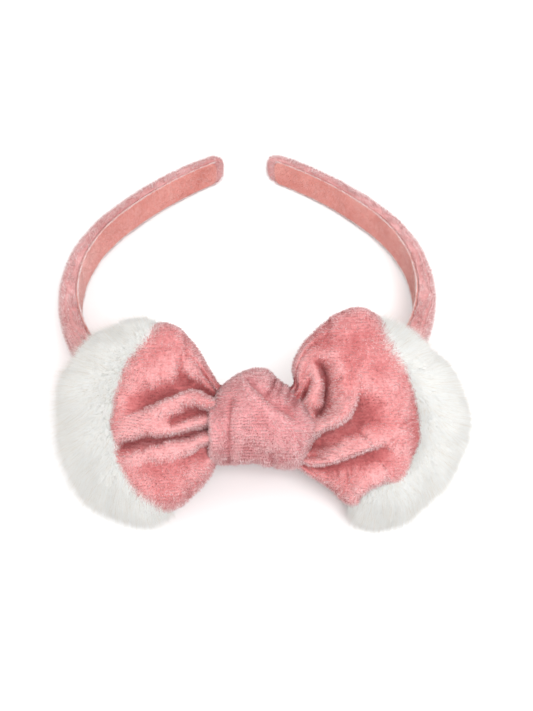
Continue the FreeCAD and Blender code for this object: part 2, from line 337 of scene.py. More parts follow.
def mark_hollows(piece, full=0.55 * MM):
    """Marks each point of a piece by how far it lies in a crease, up to 1, or on a ridge, down to -1."""
    mesh = piece.data
    points, normals = places_and_normals(mesh)
    ends = np.empty(len(mesh.edges) * 2, np.int32)
    mesh.edges.foreach_get("vertices", ends)
    a, b = ends.reshape(-1, 2).T
    total = len(points)
    joined = np.maximum(np.bincount(ends, minlength=total), 1)[:, None]

    def smoothed(values, rounds):
        for _ in range(rounds):
            values = np.stack([np.bincount(a, values[b, k], total) + np.bincount(b, values[a, k], total)
                               for k in range(values.shape[1])], axis=1) / joined
        return values
    depth = ((smoothed(points, CREASE_ROUNDS) - points) * normals).sum(axis=1)[:, None]
    hollow = np.clip((depth - smoothed(depth, SWELL_ROUNDS))[:, 0] / full, -1.0, 1.0)
    mesh.attributes.new("hollow", "FLOAT", "POINT").data.foreach_set("value", hollow.astype(np.float32))


def on_surface(piece, count, seed):
    """Seeded points spread evenly over a piece, with their normals and how deep in a crease they lie."""
    mesh = piece.data
    mesh.calc_loop_triangles()
    corners = np.empty(len(mesh.loop_triangles) * 3, np.int32)
    mesh.loop_triangles.foreach_get("vertices", corners)
    corners = corners.reshape(-1, 3)
    points, normals = places_and_normals(mesh)
    marks = np.zeros(len(points), np.float32)
    if "hollow" in mesh.attributes:
        mesh.attributes["hollow"].data.foreach_get("value", marks)
    a, b, c = (points[corners[:, i]] for i in range(3))
    area = np.linalg.norm(np.cross(b - a, c - a), axis=1)
    draw = np.random.default_rng(seed)
    pick = draw.choice(len(area), count, p=area / area.sum())
    u, v = draw.random((2, count))
    flip = u + v > 1
    u[flip], v[flip] = 1 - u[flip], 1 - v[flip]
    weights = np.stack((1 - u - v, u, v), axis=1)[..., None]
    at = (points[corners[pick]] * weights).sum(1)
    out = unit((normals[corners[pick]] * weights).sum(1))
    hollow = (marks[corners[pick]] * weights[..., 0]).sum(1)
    return at, out, hollow, draw


FLOOR_GAP = 0.1 * MM
ROOT_DEPTH = 0.12              # how far a hair is rooted below the cloth, as a share of its length
THIRDS = (0.0, 2.094, 4.189)   # thirds of a turn, in radians


def spikes(name, at, towards, length, width, shades, draw, shade_of=None):
    """Closed three-sided hairs from each point, each in the shade named for it, or in any of them."""
    count = len(at)
    side = unit(np.cross(towards, unit(draw.normal(size=(count, 3)))))
    other = np.cross(towards, side)
    ring = [side * math.cos(t) + other * math.sin(t) for t in THIRDS]
    root = [at - towards * length[:, None] * ROOT_DEPTH + r * width[:, None] for r in ring]
    tip = at + towards * length[:, None]
    points = np.stack((*root, tip), axis=1).reshape(-1, 3)
    points[:, 2] = np.maximum(points[:, 2], FLOOR_GAP)
    shape = np.array(((0, 1, 3), (1, 2, 3), (2, 0, 3), (2, 1, 0)))
    corners = (np.arange(count)[:, None, None] * 4 + shape[None]).reshape(-1)
    mesh = bpy.data.meshes.new(name)
    mesh.vertices.add(len(points))
    mesh.vertices.foreach_set("co", points.astype(np.float32).reshape(-1))
    mesh.loops.add(len(corners))
    mesh.loops.foreach_set("vertex_index", corners.astype(np.int32))
    total = len(corners) // 3
    mesh.polygons.add(total)
    mesh.polygons.foreach_set("loop_start", np.arange(total, dtype=np.int32) * 3)
    mesh.polygons.foreach_set("loop_total", np.full(total, 3, np.int32))
    for shade in shades:
        mesh.materials.append(shade)
    if shade_of is None:
        shade_of = draw.integers(0, len(shades), count)
    mesh.polygons.foreach_set("material_index", np.repeat(shade_of, len(shape)).astype(np.int32))
    mesh.update(calc_edges=True)
    return placed(name, mesh)


PILE_WIDTH = 0.055 * MM
LAYER_HAIRS = 48000         # at four faces a hair, this keeps a piece under 200,000
SPARE_PILE = 2.1            # hairs are drawn this many times over, and those between the rows are dropped
SHADE_STEPS = (0.06, 0.38, 0.70)
# How much creases shorten the pile, how far its fibres take a painted shade in the creases and a painted
# highlight on the ridges, and how much longer it grows where the cloth turns down.
CREASE_SHORTENS, PAINTED_CREASE_SHADE, PAINTED_RIDGE_HIGHLIGHT, UNDERSIDE_GROWS = 0.55, 0.65, 0.10, 0.4


def nap(name, piece, count, seed, comb, rows, pitch, length, shades, upright=0.8):
    """Short pile over a piece, in knitted rows at right angles to the rows vector, lying over towards comb.
    It is short in the creases, where its fibres take a painted shade, and on the ridges more of them are
    pale, a painted highlight. It stands longer where the cloth turns down, where nothing presses it flat."""
    at, out, hollow, draw = on_surface(piece, int(count * SPARE_PILE), seed)
    across = at @ np.asarray(rows) / pitch + hash_noise(at, 12 * MM, seed) * 1.6
    keep = draw.random(len(at)) < 0.05 + 0.95 * np.cos(math.pi * across) ** 2
    at, out, hollow = at[keep][:count], out[keep][:count], hollow[keep][:count]
    crease, ridge = np.maximum(hollow, 0), np.maximum(-hollow, 0)
    lean = np.stack([hash_noise(at, 2.4 * MM, seed + k) for k in range(3)], axis=1)
    towards = unit(out * upright + np.asarray(comb) + lean * 0.4 + draw.normal(size=at.shape) * 0.12)
    long = draw.uniform(0.75, 1.2, len(at)) * length * (1 - CREASE_SHORTENS * crease)
    long *= 1 + UNDERSIDE_GROWS * smoothstep(0.2, 0.9, -out @ FACE_UP)
    # Painted shade and highlight: fibres in the creases take the deeper shades, fibres on the ridges the
    # paler ones.
    tone = draw.random(len(at)) + 0.25 * lean[:, 0] - PAINTED_CREASE_SHADE * crease + PAINTED_RIDGE_HIGHLIGHT * ridge
    shade_of = np.digitize(tone, SHADE_STEPS)
    width = draw.uniform(0.8, 1.3, len(at)) * PILE_WIDTH
    return spikes(name, at, towards, long, width, shades, draw, shade_of)


def plain_stuff(name, colour, scale, depth, roughness=0.9, sheen=0.0):
    """A quieter material, such as plastic, wadding or thread: mottled colour and a fine uneven surface."""
    mat, tree, shader = new_material(name)
    texture = noise_texture(tree, scale, 3.0)
    ramp = node(tree, "ShaderNodeValToRGB")
    tree.links.new(texture.outputs["Fac"], ramp.inputs["Fac"])
    stops = ramp.color_ramp.elements
    stops[0].position, stops[0].color = 0.3, (*[c * 0.88 for c in colour], 1)
    stops[1].position, stops[1].color = 0.7, (*colour, 1)
    tree.links.new(ramp.outputs["Color"], shader.inputs["Base Color"])
    roughen(tree, shader, texture, 0.6, depth)
    shader.inputs["Roughness"].default_value = roughness
    shader.inputs["Sheen Weight"].default_value = sheen
    return mat


CORE_PLASTIC = plain_stuff("core_plastic", (0.80, 0.78, 0.74), 400.0, 0.00005, 0.45)
WADDING = plain_stuff("wadding_fibre", (0.90, 0.89, 0.86), 350.0, 0.0004, 0.95, 0.2)
PLUSH_BASE = plain_stuff("plush_base", (0.97, 0.96, 0.94), 700.0, 0.0006, 0.95, 0.3)
THREAD = plain_stuff("sewing_thread", (0.86, 0.58, 0.57), 2500.0, 0.0001, 0.6, 0.3)


# --- Hoop --------------------------------------------------------------------

SIDES = ((1, "right"), (-1, "left"))
# The layers, by how far they lie outside the hoop's mid-line.
COVER_IN, COVER_OUT = -2.7 * MM, 3.6 * MM
LINING_IN, LINING_OUT = -3.5 * MM, -2.4 * MM
CORE_IN, CORE_OUT = -2.0 * MM, -0.2 * MM
PADDING_OUT = 2.7 * MM
# Places along the hoop are distances from the middle of its crown.
ARM_STARTS = CROWN_R * CROWN_HALF
TIP_S = ARM_STARTS + ARM_LEN + 1.6 * MM
COVER_END, PADDING_END = TIP_S + 2.4 * MM, TIP_S - 1.0 * MM
CORE_END, LINING_END, FRINGE_END = TIP_S - 2.0 * MM, TIP_S - 2.2 * MM, TIP_S - 3.0 * MM
KNOT_REACH = 16.5 * MM
ARM_CENTRE = np.array((CROWN_R - ARM_R) * np.array((math.sin(CROWN_HALF), -math.cos(CROWN_HALF))))


def band_line(side, s):
    """Mid-line places at distances s down one side, with their outward and onward directions, in the
    hoop's plane."""
    s = np.asarray(s, float)
    on_arm = s > ARM_STARTS
    angle = np.where(on_arm, CROWN_HALF + (s - ARM_STARTS) / ARM_R, s / CROWN_R)
    out = np.stack((np.sin(angle), -np.cos(angle)), axis=-1)
    on = np.stack((np.cos(angle), np.sin(angle)), axis=-1)
    at = np.where(on_arm[..., None], ARM_CENTRE + ARM_R * out, CROWN_R * out)
    flip = np.array((side, 1.0))
    return at * flip, out * flip, on * flip


def half_width(s):
    """The hoop narrows evenly from the crown to its tips."""
    y = band_line(1, s)[0][..., 1]
    tip_y = band_line(1, TIP_S)[0][1]
    return CROWN_HALF_W + (TIP_HALF_W - CROWN_HALF_W) * (y + CROWN_R) / (tip_y + CROWN_R)


def on_band(side, s, offset, height):
    at, out, _ = band_line(side, s)
    flat = at + out * np.asarray(offset)[..., None]
    return in_hoop(np.concatenate((flat, np.broadcast_to(height, flat.shape[:-1])[..., None]), axis=-1))


def band_tube(name, side, start, end, section, around, tip_len, step=1.0 * MM):
    """One half of a layer of the hoop, from beside the crown to its rounded tip.
    section(angle, s) gives each point's offset and height as a share of the half width."""
    body = np.arange(start, end - tip_len, step)
    bend = np.linspace(0.0, 1.0, 8)[:-1] * math.pi / 2
    tip = end - tip_len + tip_len * np.sin(bend)
    s = np.concatenate((body, tip))
    size = np.concatenate((np.ones(len(body)), np.cos(bend) ** 0.8))
    angle = np.linspace(0, 2 * math.pi, around, endpoint=False)
    grid_s, grid_a = np.meshgrid(s, angle, indexing="ij")
    offset, share = section(grid_a, grid_s)
    middle = offset.mean(axis=1, keepdims=True)
    offset = middle + (offset - middle) * size[:, None]
    height = share * half_width(grid_s) * size[:, None]
    points = on_band(side, grid_s, offset, height).reshape(-1, 3)
    faces = tube_faces(len(s), around)
    return new_piece(name, points, faces if side > 0 else [f[::-1] for f in faces])


def d_section(inner, outer, shrink, rim=0.8 * MM):
    """Flat towards the head, widest just behind that face, and domed outside."""
    widest = inner + rim

    def section(angle, s):
        c, d = np.cos(angle), np.sin(angle)
        share = np.sign(c) * np.abs(c) ** 0.8 * shrink
        wave = 0.10 * MM * np.sin(s / (1.15 * MM)) * np.abs(c) ** 6
        dome = widest + (outer - widest) * np.abs(d) ** 0.9
        flat = widest - rim * np.abs(d) ** 0.30
        return np.where(d > 0, dome, flat) + wave, share
    return section


def strip_section(inner, outer, shrink, rim=0.0):
    """A flat strip with rounded edges, its two rims a little raised towards the head."""
    def section(angle, s):
        c, d = np.cos(angle), np.sin(angle)
        share = np.sign(c) * np.abs(c) ** 0.35 * shrink
        offset = (inner + outer) / 2 + np.sign(d) * np.abs(d) ** 0.5 * (outer - inner) / 2
        return offset - rim * np.abs(share / shrink) ** 12, share
    return section


def uneven(piece, amount, scale, seed):
    """Presses and puffs a surface along its normals by smooth noise."""
    mesh = piece.data
    points, normals = places_and_normals(mesh)
    points += normals * (hash_noise(points, scale, seed) * amount)[:, None]
    mesh.vertices.foreach_set("co", points.reshape(-1))
    mesh.update()


def finish_piece(piece, material, body=None, replaces=()):
    piece.data.materials.append(material)
    if replaces:
        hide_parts(*replaces)
    if body:
        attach(piece, body)


def with_arm(piece):
    """Writes a half of the hoop's placing into its mesh points."""
    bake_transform(piece)


def edge_fringe(name, side, start, end, count):
    """Pale pile that stands up along both edges of the lining, where the two velvets meet."""
    draw = np.random.default_rng(51 + side)
    s = draw.uniform(start, end, count)
    clump = hash_noise(np.stack((s, 0 * s, 0 * s), axis=1), 3.5 * MM, 3)
    keep = draw.random(count) < 0.55 + 0.9 * clump
    s = s[keep]
    edge = draw.choice((-1.0, 1.0), len(s))
    height = edge * (half_width(s) * 0.93 + draw.normal(size=len(s)) * 0.18 * MM)
    at = on_band(side, s, -3.2 * MM, height)
    out, on = band_line(side, s)[1:]
    flat = np.zeros((len(s), 1))
    inward = in_hoop(np.concatenate((-out, flat), axis=1)) - HOOP_AT
    along = in_hoop(np.concatenate((on, flat), axis=1)) - HOOP_AT
    stray = draw.normal(size=at.shape) * 0.3
    towards = unit(inward * 0.7 + edge[:, None] * HOOP_UP * 0.7 + along * 0.4 + stray)
    length = draw.uniform(0.6, 1.3, len(s)) * MM
    return spikes(name, at, towards, length, draw.uniform(0.035, 0.06, len(s)) * MM, FRINGE_SHADES, draw)


def make_hoop():
    halves = []
    for side, word in SIDES:
        from_middle = side * BOW_SHIFT - 1.0 * MM
        knot_edge = side * BOW_SHIFT + KNOT_REACH
        cover = band_tube("cover_" + word, side, from_middle, COVER_END,
                          d_section(COVER_IN, COVER_OUT, 1.0), 48, 5.0 * MM, 0.8 * MM)
        uneven(cover, 0.22 * MM, 9.0 * MM, side)
        uneven(cover, 0.10 * MM, 2.5 * MM, side + 5)
        lining = band_tube("lining_" + word, side, knot_edge, LINING_END,
                           strip_section(LINING_IN, LINING_OUT, 0.95, 0.25 * MM), 32, 3.0 * MM)
        uneven(lining, 0.12 * MM, 6.0 * MM, side + 9)
        core = band_tube("core_" + word, side, from_middle, CORE_END,
                         strip_section(CORE_IN, CORE_OUT, 0.80), 24, 3.0 * MM, 2.0 * MM)
        padding = band_tube("padding_" + word, side, from_middle, PADDING_END,
                            d_section(CORE_OUT, PADDING_OUT, 0.86), 24, 3.0 * MM, 2.0 * MM)
        fringe = edge_fringe("edge_fringe_" + word, side, knot_edge, FRINGE_END, 14000)
        pile = nap("band_pile_" + word, cover, LAYER_HAIRS, 71 + side, HOOP_UP * 0.15, HOOP_UP,
                   0.9 * MM, 1.15 * MM, BAND_PILE, 1.0)
        fluff = nap("lining_pile_" + word, lining, 34000, 81 + side, -HOOP_UP * 0.15, HOOP_UP,
                    0.8 * MM, 0.45 * MM, LINING_PILE)
        arm = "_arm_" + word
        finish_piece(cover, BAND_VELVET, replaces=("cover" + arm, "cover_crown"))
        finish_piece(lining, LINING_VELVET, replaces=("lining" + arm, "lining_crown"))
        finish_piece(core, CORE_PLASTIC, replaces=("core" + arm, "core_crown"))
        finish_piece(padding, WADDING, replaces=("padding" + arm, "padding_crown"))
        halves.append((side, cover, lining, core, padding, fringe, pile, fluff))
    return halves


# --- Bow: the stuffed cloth --------------------------------------------------

def smooth_curve(points, count):
    """Evenly spaced points along a smooth curve through the given ones."""
    p = np.asarray(points, float)
    p = np.vstack((2 * p[0] - p[1], p, 2 * p[-1] - p[-2]))
    t = np.linspace(0, 1, 24, endpoint=False)[:, None]
    runs = [b + 0.5 * ((c - a) * t + (2 * a - 5 * b + 4 * c - d) * t ** 2 + (3 * b - a - 3 * c + d) * t ** 3)
            for a, b, c, d in zip(p, p[1:], p[2:], p[3:])]
    dense = np.vstack((*runs, p[-2:-1]))
    run = np.r_[0, np.cumsum(np.linalg.norm(np.diff(dense, axis=0), axis=1))]
    at = np.linspace(0, run[-1], count)
    return np.stack([np.interp(at, run, dense[:, k]) for k in range(p.shape[1])], axis=1)


# Outlines of the two lobes, in millimetres: distance from the gather, and place up the bow's face.
LOBE_TOP = {-1: ((0, 9.5), (9, 10), (13.2, 11.8), (16, 16.0), (20.4, 23.4), (25, 28.6), (30, 31.0),
                 (36, 30.3), (43, 26), (50, 19), (55, 10), (57.5, 1)),
            1: ((0, 9.5), (8, 9.8), (12, 12.5), (15, 19), (19, 26), (25.6, 32.6), (31.5, 35.2),
                (37, 33.6), (44, 27), (50, 19), (55, 10), (57.5, 1))}
LOBE_FOOT = {-1: ((0, -9.5), (9, -10), (14.4, -13.2), (17.2, -18.0), (22.4, -23.8), (30, -28.2),
                  (37, -28.8), (44, -25), (50, -19), (55, -10), (57.5, -1)),
             1: ((0, -9.5), (8, -11), (12.5, -15.5), (19, -20), (25.6, -25), (31, -28.5), (37, -29),
                 (44, -25), (50, -19), (55, -10), (57.5, -1))}
# Half their thickness, front to back, at distances from the gather.
LOBE_THICK = {-1: ((0, 4.3), (8, 4.7), (13, 5.6), (17, 7.4), (23, 10.6), (31, 12.2), (38, 11.0),
                   (44, 8.0), (48, 5.4), (53, 3.4), (57.5, 1.0)),
              1: ((0, 4.3), (8, 4.7), (13, 5.6), (17, 7.4), (23, 10.6), (31, 12.4), (41, 11.0),
                  (47, 8.4), (51, 5.6), (55, 3.4), (57.5, 1.0))}
# Folds: points (distance from the gather, place up the face), depth, width, fading at start and end, all in
# millimetres, and which side overhangs the crease: 1 the upper, -1 the lower, 0 neither.
LOBE_FOLDS = {
    -1: ((((13, 7.0), (15.6, 8.1), (19.9, 10.5), (24.2, 10.2), (28, 8.9), (32.4, 7.3), (37.2, 5.6),
           (44, 3.2)),
          5.4, 1.3, 1, 11, -1),
         (((20, 13.5), (24, 12.6), (28.5, 12.9)), 2.2, 1.1, 3, 4, -1),
         (((22, 16.0), (27, 15.0)), 1.0, 3.4, 2, 2, 0),
         (((12, 3.6), (17.5, 3.4), (22.3, 2.8), (26.2, 1.5), (30, -1.2)), 2.4, 1.0, 1, 5, 0),
         (((12, -1.0), (17.5, -2.2), (24.2, -3.9), (31.9, -5.1), (37.2, -5.3), (41, -6.5), (48, -7.6)),
          5.6, 1.0, 1, 7, 0),
         (((12, -7.0), (18, -7.5), (21, -9.4), (24, -12.5)), 3.4, 1.2, 1, 6, 1)),
    1: ((((17.0, 19.5), (20, 17), (21.1, 12.6), (20.8, 8.3), (20.3, 3.9), (17, 0)), 5.4, 1.3, 5, 3, 0),
        (((14, -5.6), (18.4, -4.8), (21.6, -3.2), (26, -1.0), (28.7, 1.2), (30.9, 5.0), (32.5, 9.3)),
         5.8, 1.3, 1, 7, 1),
        (((12, -14.5), (17, -15.2), (21.6, -14.8), (26, -13.1), (30.9, -11.2), (36.3, -9.3), (42, -8.4)),
         4.8, 1.2, 1, 9, 1),
        (((30, -26), (32, -24.9), (36.3, -22.2), (43, -20.6)), 3.8, 1.6, 3, 4, 1),
        (((12, -11.4), (14.6, -12.0), (20.5, -11.4)), 1.8, 0.8, 1, 3, 0),
        (((13, 6), (16, 11), (16.4, 16)), 1.8, 0.9, 2, 5, 0),
        (((13, -8.5), (17, -8.8), (24, -8.0)), 1.8, 1.0, 1, 6, 0)),
}
BACK_FOLDS = ((((10, 6), (18, 8.5), (28, 13), (37, 15)), 4.2, 1.6, 1, 12, 0),
              (((10, 1), (19, 0.5), (30, -1.5), (42, -1)), 5.2, 1.5, 1, 14, -1),
              (((10, -6), (18, -8), (27, -13), (34, -17)), 4.2, 1.6, 1, 10, 0))
STATIONS, AROUND = 120, 260
LOBE_REACH = 57.3
DEEPEST = 0.62        # a fold presses in no further than this share of the lobe's half thickness
SHOULDER_PULL = 3.2   # how far the right lobe's upper shoulder is drawn in over the knot


def crease(x, y, fold):
    """How far a fold presses the cloth in at places (x, y), and lifts it beside the fold."""
    points, depth, width, fade_in, fade_out, lip = fold
    line = smooth_curve(points, 70)
    run = np.r_[0, np.cumsum(np.linalg.norm(np.diff(line, axis=0), axis=1))]
    dx, dy = x[..., None] - line[:, 0], y[..., None] - line[:, 1]
    away = np.hypot(dx, dy)
    nearest = away.argmin(-1)
    d = away.min(-1)
    s = run[nearest]
    strength = smoothstep(0, fade_in, s) * (1 - smoothstep(run[-1] - fade_out, run[-1], s))
    wide = width * (1 + 0.5 * s / run[-1])
    if lip == 0:
        swell = 0.30 * np.exp(-((d - 2.6 * wide) / (1.7 * wide)) ** 2)
        return strength * depth * (swell - np.exp(-(d / wide) ** 1.2))
    tangent = np.gradient(line, axis=0)
    upward = np.stack((-tangent[:, 1], tangent[:, 0]), axis=1) * np.sign(tangent[:, :1])
    pick = np.take_along_axis
    above = (pick(dx, nearest[..., None], -1)[..., 0] * upward[nearest, 0]
             + pick(dy, nearest[..., None], -1)[..., 0] * upward[nearest, 1])
    q = d * np.where(above * lip > 0, 1.0, -1.0)
    over = np.maximum(q, 0)
    under = np.maximum(-q, 0)
    swell = 0.42 * np.exp(-((over - 1.7 * wide) / (1.5 * wide)) ** 2)
    overhang = swell - np.exp(-(over / (0.6 * wide)) ** 2)
    far_swell = 0.42 * math.exp(-(1.7 / 1.5) ** 2) * np.exp(-under / wide)
    dimple = far_swell - np.exp(-(under / (2.3 * wide)) ** 1.15)
    return strength * depth * np.where(q > 0, overhang, dimple)


def lobe_x():
    """Distances of the stations from the gather."""
    t = np.linspace(0, 1, STATIONS)
    return LOBE_REACH * (t + 0.10 * np.sin(2 * math.pi * t) / (2 * math.pi))


def lobe_creased(side):
    """How deep in a crease each point of a lobe lies, from 0 to 1."""
    flat, folded = lobe(side, folded=False), lobe(side)
    pressed_in = np.abs(folded[..., 2]) < np.abs(flat[..., 2])
    return smoothstep(1.0, 3.0, np.linalg.norm(flat - folded, axis=-1) * pressed_in)


def lobe(side, inset=0.0, folded=True):
    """Points of one stuffed lobe, in the bow's frame and millimetres, as a grid of stations by places
    around."""
    x = lobe_x()
    top, foot = smooth_curve(LOBE_TOP[side], 200), smooth_curve(LOBE_FOOT[side], 200)
    y_top, y_foot = np.interp(x, top[:, 0], top[:, 1]), np.interp(x, foot[:, 0], foot[:, 1])
    thick = np.interp(x, *smooth_curve(LOBE_THICK[side], 200).T)
    angle = np.linspace(0, 2 * math.pi, AROUND, endpoint=False)
    c, s = np.cos(angle), np.sin(angle)
    half = np.maximum((y_top - y_foot) / 2 - inset, 0.5)
    y = ((y_top + y_foot) / 2)[:, None] + half[:, None] * (np.sign(c) * np.abs(c) ** 0.9)
    z = np.maximum(thick - inset, 0.5)[:, None] * (np.sign(s) * np.abs(s) ** 0.82)
    xx = np.repeat(x[:, None], AROUND, axis=1)
    if side > 0:
        xx = xx - SHOULDER_PULL * smoothstep(7, 19, y) * (1 - smoothstep(17, 30, xx)) * smoothstep(9, 14, xx)
    if folded:
        front = smoothstep(0.0, 0.35, s)[None]
        back = smoothstep(0.0, 0.35, -s)[None]
        press = sum(crease(xx, y, f) for f in LOBE_FOLDS[side]) * front
        press += sum(crease(xx, y, f) for f in BACK_FOLDS) * back
        draw = np.random.default_rng(40 + side)
        pleats = sum(np.cos(n * angle + draw.uniform(0, 6.3)) * draw.uniform(0.4, 1)
                     for n in (9, 13, 17, 22))
        gather = 0.42 * np.exp(-((x - 15) / 6.0).clip(0) ** 1.3)
        press += gather[:, None] * pleats[None]
        outward = np.stack((c * 0.5, s), axis=-1)
        outward /= np.linalg.norm(outward, axis=-1, keepdims=True)
        press = np.maximum(press, -DEEPEST * np.maximum(thick - inset, 0.5)[:, None])
        y = y + press * outward[None, :, 0] * 0.35
        z = z + press * outward[None, :, 1]
    return np.stack((xx * side, y, z), axis=-1)


SIM_SCALE = 25.0
SIM_FRAMES = 18
SETTLE_CAP = 0.8 * MM


def settle(piece, hold, cap):
    """Lets the cloth fill out over its stuffing, with a little spare length, and keeps the shape it takes.
    hold says how firmly each point stays where it was sewn or gathered, and cap how far any may go."""
    scene = bpy.context.scene
    mesh = piece.data
    before = np.array([v.co for v in mesh.vertices])
    mesh.transform(Matrix.Scale(SIM_SCALE, 4))
    group = piece.vertex_groups.new(name="hold")
    for level in range(11):
        members = np.flatnonzero(np.round(hold * 10) == level)
        if level and len(members):
            group.add([int(i) for i in members], level / 10, "REPLACE")
    cloth = piece.modifiers.new("cloth", "CLOTH")
    rules = cloth.settings
    rules.quality = 5
    rules.mass = 0.25
    rules.tension_stiffness = rules.compression_stiffness = 18.0
    rules.shear_stiffness = 6.0
    rules.bending_stiffness = 0.35
    rules.vertex_group_mass = "hold"
    rules.use_pressure = True
    rules.uniform_pressure_force = 4.0
    rules.shrink_min = -0.05
    rules.effector_weights.gravity = 0.0
    cloth.collision_settings.use_collision = False
    cloth.point_cache.frame_start, cloth.point_cache.frame_end = 1, SIM_FRAMES
    for frame_number in range(1, SIM_FRAMES + 1):
        scene.frame_set(frame_number)
    shaped = piece.evaluated_get(bpy.context.evaluated_depsgraph_get()).to_mesh()
    after = np.array([v.co for v in shaped.vertices]) / SIM_SCALE
    piece.modifiers.remove(cloth)
    piece.vertex_groups.remove(group)
    scene.frame_set(1)
    moved = after - before
    far = np.linalg.norm(moved, axis=1, keepdims=True)
    moved *= cap * np.tanh(far / cap) / np.maximum(far, 1e-9)
    mesh.vertices.foreach_set("co", (before + moved).reshape(-1))
    mesh.update()


PILE_LAYERS = ((1, 0.70 * MM), (2, 0.95 * MM))
WADDING_DEPTH = 5.0


def make_lobes():
    for side, word in SIDES:
        points = in_bow(lobe(side) * MM).reshape(-1, 3)
        faces = tube_faces(STATIONS, AROUND)
        if side < 0:
            faces = [f[::-1] for f in faces]
        cloth = new_piece("bow_cloth_" + word, points, faces)
        uneven(cloth, 0.55 * MM, 11.0 * MM, 3 + side)
        uneven(cloth, 0.22 * MM, 4.0 * MM, 7 + side)
        across = np.repeat(np.abs(lobe_x())[:, None], AROUND, axis=1).reshape(-1)
        hold = np.maximum(1 - smoothstep(17, 27, across), smoothstep(46, 53, across))
        hold = np.maximum(hold, 0.9 * lobe_creased(side).reshape(-1))
        settle(cloth, hold, SETTLE_CAP)
        finish_piece(cloth, BOW_VELVET, "hoop_crown", ("bow_front_panel", "bow_back_panel"))
        inner = in_bow(lobe(side, WADDING_DEPTH) * MM).reshape(-1, 3)
        filling = new_piece("bow_filling_" + word + "_wadding", inner, faces)
        uneven(filling, 0.5 * MM, 5.0 * MM, 13 + side)
        finish_piece(filling, WADDING, "hoop_crown", ("bow_filling_" + word,))
        # The hollow marks give the velvet and its pile a painted shade in the creases and a painted highlight
        # on the ridges, and shorten the pile in the creases.
        mark_hollows(cloth)
        for layer, length in PILE_LAYERS:
            pile = nap("bow_pile_%s_%d" % (word, layer), cloth, LAYER_HAIRS, 91 + side + 10 * layer,
                       -FACE_UP * 0.25, FACE_UP, 1.0 * MM, length, BOW_PILE)
            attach(pile, "hoop_crown")


# --- Bow: plush rolls --------------------------------------------------------

# Each roll follows half an ellipse round the end of its lobe: its middle, its half axes, and the roll's own
# half widths in the bow's plane, at mid height and at the two ends, all in millimetres.
ROLL_AT = {-1: (30.5, 0.4), 1: (31.8, -1.8)}
ROLL_PATH = {-1: (24.3, 24.2), 1: (24.9, 24.8)}
ROLL_WIDE = {-1: (8.7, 7.0), 1: (6.9, 6.6)}
ROLL_DEEP = 6.6
ROLL_ENDS = {-1: (-88.0, 86.0), 1: (-92.0, 88.0)}
ROLL_TAPER = 0.09


def plush_roll(side):
    """The soft roll under the pile, in the bow's frame and millimetres, as a grid of rings."""
    rings, around = 90, 40
    a = np.radians(np.linspace(*ROLL_ENDS[side], rings))[:, None]
    t = np.linspace(0, 1, rings)[:, None]
    ends = np.ones_like(t)
    for run in (t, 1 - t):
        ends *= np.sqrt(np.clip(1 - (1 - np.clip(run / ROLL_TAPER, 0, 1)) ** 2, 0.02, 1))
    bulge = ends * (1 + 0.05 * np.sin(5.1 * a + side) + 0.04 * np.sin(11.3 * a + 2 * side))
    middle_wide, end_wide = ROLL_WIDE[side]
    wide = (end_wide + (middle_wide - end_wide) * np.cos(a) ** 2) * bulge
    wander = 0.6 * np.sin(3.3 * a + 1.7 * side)
    b = np.linspace(0, 2 * math.pi, around, endpoint=False)
    along_x, along_y = ROLL_PATH[side]
    x = ROLL_AT[side][0] + (along_x + wander + wide * np.cos(b)) * np.cos(a)
    y = ROLL_AT[side][1] + (along_y + wander + wide * np.cos(b)) * np.sin(a)
    z = ROLL_DEEP * bulge * np.sin(b)
    return np.stack((x * side, y, z), axis=-1), rings, around


# The plush: hairs in each layer, shortest and longest in mm, thickness in mm, how far they tangle, and
# shades. The woolly undercoat tangles most, so that no bare ground shows between the longer hairs.
FUR_LAYERS = ((LAYER_HAIRS, 2.2, 3.8, 0.150, 0.60, FUR_SHADES),
              (LAYER_HAIRS, 3.8, 5.8, 0.075, 0.16, FUR_SHADES),
              (12000, 5.8, 8.0, 0.040, 0.08, WISP_SHADES),
              (LAYER_HAIRS, 3.2, 4.8, 0.105, 0.42, FUR_SHADES))


def make_rolls():
    for side, word in SIDES:
        grid, rings, around = plush_roll(side)
        faces = tube_faces(rings, around)
        if side > 0:
            faces = [f[::-1] for f in faces]
        roll = new_piece("plush_roll_" + word, in_bow(grid * MM).reshape(-1, 3), faces)
        uneven(roll, 0.5 * MM, 6.0 * MM, 21 + side)
        finish_piece(roll, PLUSH_BASE, "hoop_crown", ("plush_trim_" + word,))
        middle = in_bow((side * ROLL_AT[side][0] * MM, ROLL_AT[side][1] * MM, 0.0))
        for layer, (count, low, high, thick, tangle, shades) in enumerate(FUR_LAYERS):
            at, out, _, draw = on_surface(roll, count, 60 + layer * 7 + side)
            away = unit(at - middle)
            outward = (out * away).sum(axis=1, keepdims=True)
            # The hairs lie out over the roll's far side, and at its rim they are combed round it.
            outer, rim = smoothstep(-0.7, 0.5, outward), smoothstep(0.1, 0.7, outward)
            facing = (out @ FACE_OUT)[:, None]
            lift = FACE_OUT * np.tanh(3 * facing) * (1 - outer) * 0.55
            lean = np.stack([hash_noise(at, 5.0 * MM, 30 + k) for k in range(3)], axis=1)
            fine = np.stack([hash_noise(at, 1.3 * MM, 40 + k) for k in range(3)], axis=1)
            comb = -FACE_UP * 0.34 * (1 - rim) - side * np.cross(FACE_OUT, away) * 0.45 * rim
            towards = unit(out * (0.45 + 0.15 * outer) + away * (0.35 + 0.25 * outer) + lift + comb
                           + lean * 0.30 + fine * 0.25 + draw.normal(size=at.shape) * tangle)
            length = draw.uniform(low, high, count) * MM * (0.75 + 0.25 * outer[:, 0])
            width = draw.uniform(0.7, 1.3, count) * thick * MM
            fur = spikes("plush_pile_%s_%d" % (word, layer + 1), at, towards, length, width, shades, draw)
            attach(fur, "hoop_crown")


# --- Knot --------------------------------------------------------------------

